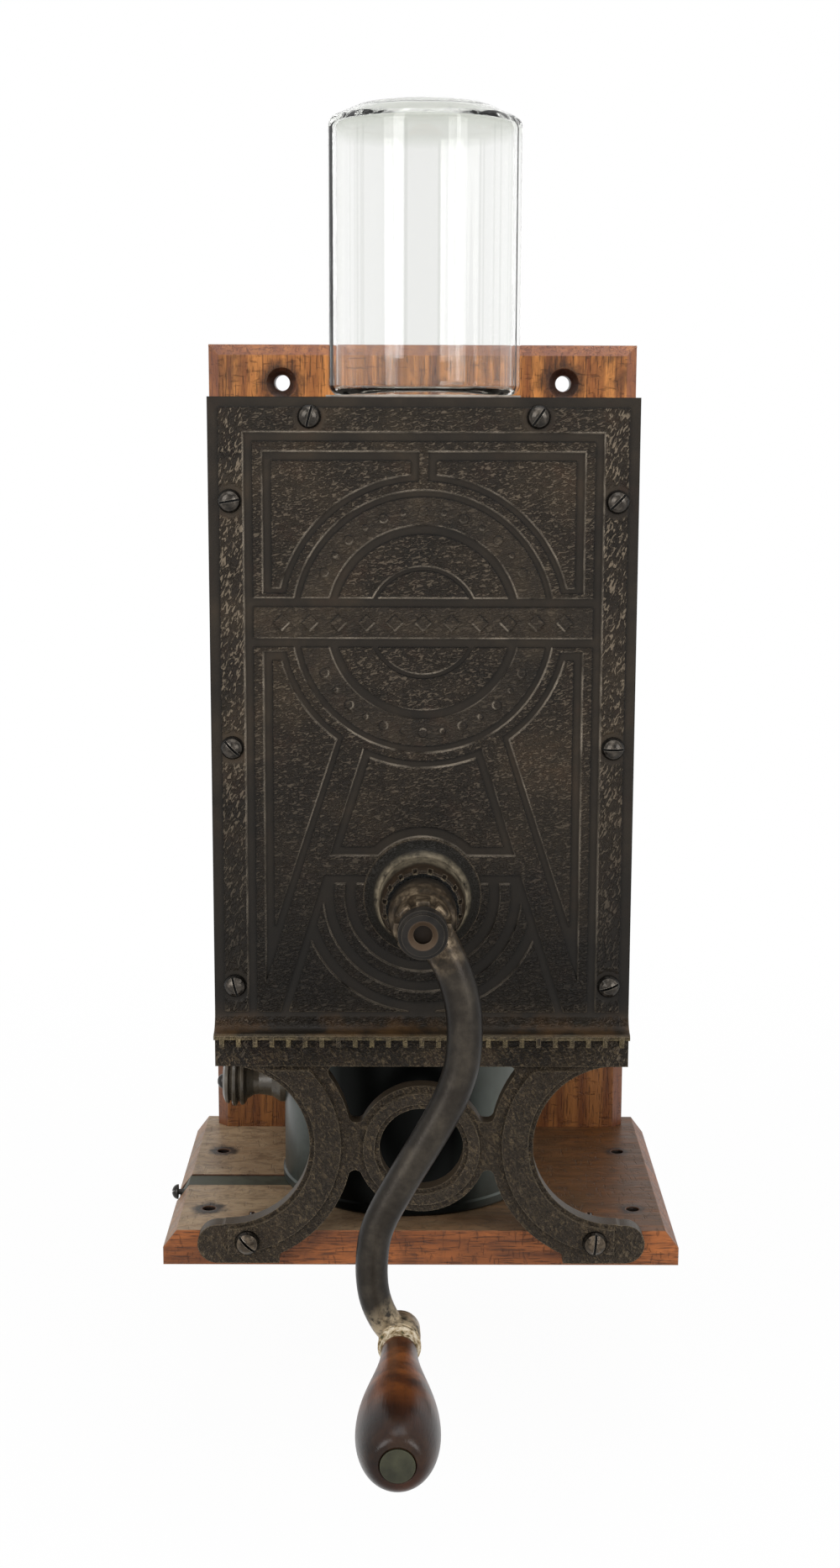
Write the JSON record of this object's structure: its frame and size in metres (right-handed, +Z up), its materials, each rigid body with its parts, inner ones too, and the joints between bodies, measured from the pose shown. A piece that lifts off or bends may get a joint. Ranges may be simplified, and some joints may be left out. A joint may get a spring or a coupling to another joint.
{
  "type": "wall coffee mill",
  "caption": "Wall-hung hand coffee mill: inverted glass hopper jar over a wooden case with a cast-iron front, a crank-driven cone burr inside, and a sliding tin catch cup on the base board.",
  "frame": {"origin": "middle of the two hanging holes, on the wall side of the back board", "axes": "+X to the viewer's right, +Y into the wall, +Z up"},
  "size_m": [0.2309, 0.3337, 0.518],
  "materials": {
    "oak_board": "old oiled oak, orange-brown with dark grain",
    "oak_base": "old oak, top faded grey-tan, edges orange-brown",
    "case_wood": "old oak, satin varnish worn thin",
    "front_iron": "dark brown-black iron, stippled, edges worn bright",
    "bush_brass": "worn bearing brass",
    "sheet_iron": "dull tinned sheet iron",
    "burr_iron": "bare cast iron",
    "spring_steel": "blackened flat spring steel",
    "screw_steel": "darkened steel, polished by handling",
    "crank_iron": "dark grey iron, satin from handling",
    "shaft_steel": "turned steel",
    "rivet_iron": "dark green-black iron",
    "nut_iron": "brown-grey iron, worn",
    "grip_wood": "dark red-brown varnished beech, glossy",
    "ferrule_brass": "crusted brass, rust and pale scale",
    "tinplate": "dull grey tinplate",
    "knob_wood": "black painted turned wood",
    "jar_glass": "clear pressed glass"
  },
  "bodies": {
    "frame": {"back_board": "oak_board", "base_board": "oak_base", "case_left_side": "case_wood", "case_right_side": "case_wood", "case_top": "case_wood", "case_floor": "case_wood", "front_casting": "front_iron", "shaft_bush": "bush_brass", "thrust_washer": "screw_steel", "jar_collar": "sheet_iron", "hopper_funnel": "sheet_iron", "burr_shell": "burr_iron", "ring_burr": "burr_iron", "rear_bridge": "burr_iron", "grounds_chute": "sheet_iron", "cup_spring": "spring_steel", "spring_screw": "screw_steel", "plate_screws": "screw_steel", "foot_screws": "screw_steel", "shell_screws": "screw_steel", "bridge_screws": "screw_steel", "funnel_screws": "screw_steel", "collar_screws": "screw_steel", "back_screws": "screw_steel", "base_screws": "screw_steel", "top_screws": "screw_steel", "floor_nails": "screw_steel"},
    "crank": {"crank_arm": "crank_iron", "crank_key": "shaft_steel", "handle_rivet": "rivet_iron"},
    "shaft": {"grinder_shaft": "shaft_steel", "cone_burr": "burr_iron", "feed_worm": "burr_iron", "burr_pin": "shaft_steel"},
    "nut": {"regulating_nut": "nut_iron"},
    "grip": {"handle_grip": "grip_wood", "handle_ferrule": "ferrule_brass"},
    "cup": {"cup": "tinplate", "cup_knob": "knob_wood", "knob_screw": "screw_steel", "knob_nut": "screw_steel"},
    "jar": {"jar": "jar_glass"}
  },
  "joints": [
    {"name": "crank_turn", "type": "hinge", "parent": "frame", "child": "crank", "pos_m": [0, -0.2, -0.216], "axis": [0, -1, 0], "continuous": true},
    {"name": "burr_adjust", "type": "slide", "parent": "crank", "child": "shaft", "axis": [0, -1, 0], "range_m": [-0.0006, 0.0006]},
    {"name": "nut_turn", "type": "hinge", "parent": "crank", "child": "nut", "pos_m": [0, -0.228, -0.216], "axis": [0, 1, 0], "range_deg": [-180, 180]},
    {"name": "grip_spin", "type": "hinge", "parent": "crank", "child": "grip", "pos_m": [-0.009, -0.28, -0.387], "axis": [0, -1, 0], "continuous": true},
    {"name": "cup_slide", "type": "slide", "parent": "frame", "child": "cup", "axis": [-1, 0, 0], "range_m": [0, 0.14]},
    {"name": "jar_lift", "type": "slide", "parent": "frame", "child": "jar", "axis": [0, 0, 1], "range_m": [0, 0.12]}
  ],
  "couplings": [
    {"joint": "nut_turn", "follows": "burr_adjust", "rad_per_m": 5236}
  ]
}
